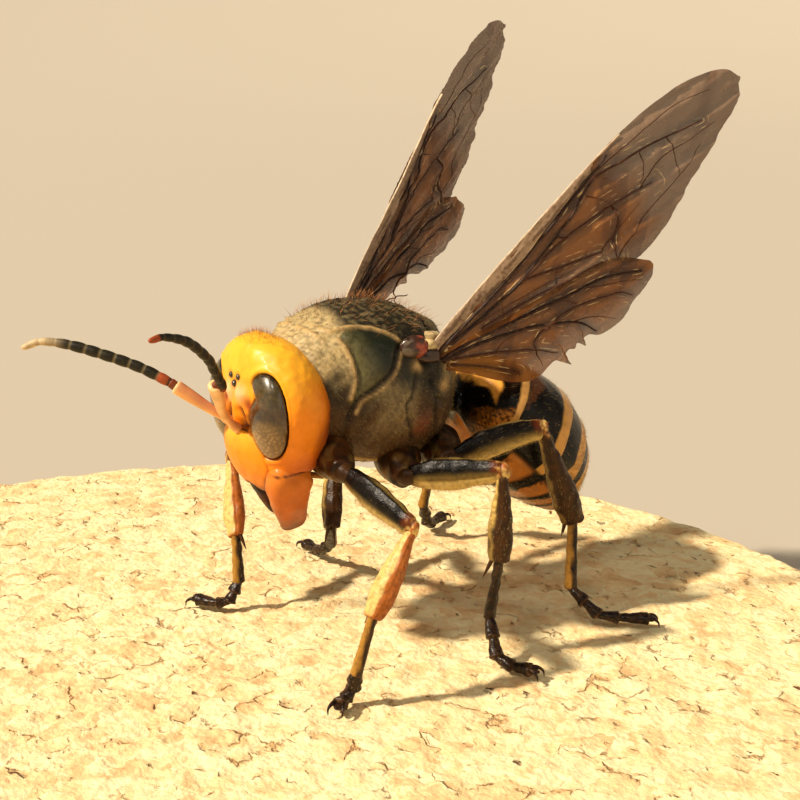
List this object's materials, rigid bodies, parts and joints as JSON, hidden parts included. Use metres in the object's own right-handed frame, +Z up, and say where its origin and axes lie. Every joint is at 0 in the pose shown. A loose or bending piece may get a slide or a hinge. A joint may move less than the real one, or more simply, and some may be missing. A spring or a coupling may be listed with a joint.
{
  "type": "giant hornet specimen on a cork disc",
  "caption": "Life-size dried giant hornet standing with raised open wings on a round disc of pressed cork.",
  "frame": {"origin": "centre of the cork disc's underside", "axes": "+Z up, the hornet faces -Y and its left side is towards +X"},
  "size_m": [0.09, 0.09, 0.0437],
  "materials": {
    "cork": "matt, pressed granules",
    "head_shell": "waxy yellow-orange chitin",
    "eye": "glossy olive-brown",
    "jaw_and_scape": "glossy reddish amber chitin",
    "thorax_shell": "dark chitin with a short golden pile",
    "tegula": "glossy reddish brown chitin",
    "banded_gaster": "glossy chitin in amber and black bands",
    "tibia_amber": "amber chitin with dark edges",
    "dark_shell": "dark brown glossy chitin",
    "wing_membrane": "smoky amber membrane, see-through"
  },
  "bodies": {
    "root": {"base_disc": "cork", "clypeus": "head_shell", "coxa_fore_L": "dark_shell", "coxa_fore_R": "dark_shell", "coxa_hind_L": "dark_shell", "coxa_hind_R": "dark_shell", "coxa_mid_L": "dark_shell", "coxa_mid_R": "dark_shell", "eye_L": "eye", "eye_R": "eye", "femur_fore_L": "dark_shell", "femur_fore_R": "dark_shell", "femur_hind_L": "dark_shell", "femur_hind_R": "dark_shell", "femur_mid_L": "dark_shell", "femur_mid_R": "dark_shell", "flagellum_L": "dark_shell", "flagellum_R": "dark_shell", "gaster_1": "banded_gaster", "gaster_2": "banded_gaster", "gaster_3": "banded_gaster", "gaster_4": "banded_gaster", "gaster_5": "banded_gaster", "gaster_6": "banded_gaster", "head": "head_shell", "mandible_L": "jaw_and_scape", "mandible_R": "jaw_and_scape", "mesopleura": "thorax_shell", "mesoscutum": "thorax_shell", "mouthparts": "dark_shell", "pronotum": "thorax_shell", "propodeum": "thorax_shell", "scape_L": "jaw_and_scape", "scape_R": "jaw_and_scape", "scutellum": "thorax_shell", "tarsus_fore_L": "dark_shell", "tarsus_fore_R": "dark_shell", "tarsus_hind_L": "dark_shell", "tarsus_hind_R": "dark_shell", "tarsus_mid_L": "dark_shell", "tarsus_mid_R": "dark_shell", "tegula_L": "tegula", "tegula_R": "tegula", "tibia_fore_L": "tibia_amber", "tibia_fore_R": "tibia_amber", "tibia_hind_L": "dark_shell", "tibia_hind_R": "dark_shell", "tibia_mid_L": "dark_shell", "tibia_mid_R": "dark_shell", "wing_fore_L": "wing_membrane", "wing_fore_R": "wing_membrane", "wing_hind_L": "wing_membrane", "wing_hind_R": "wing_membrane"}
  },
  "joints": []
}
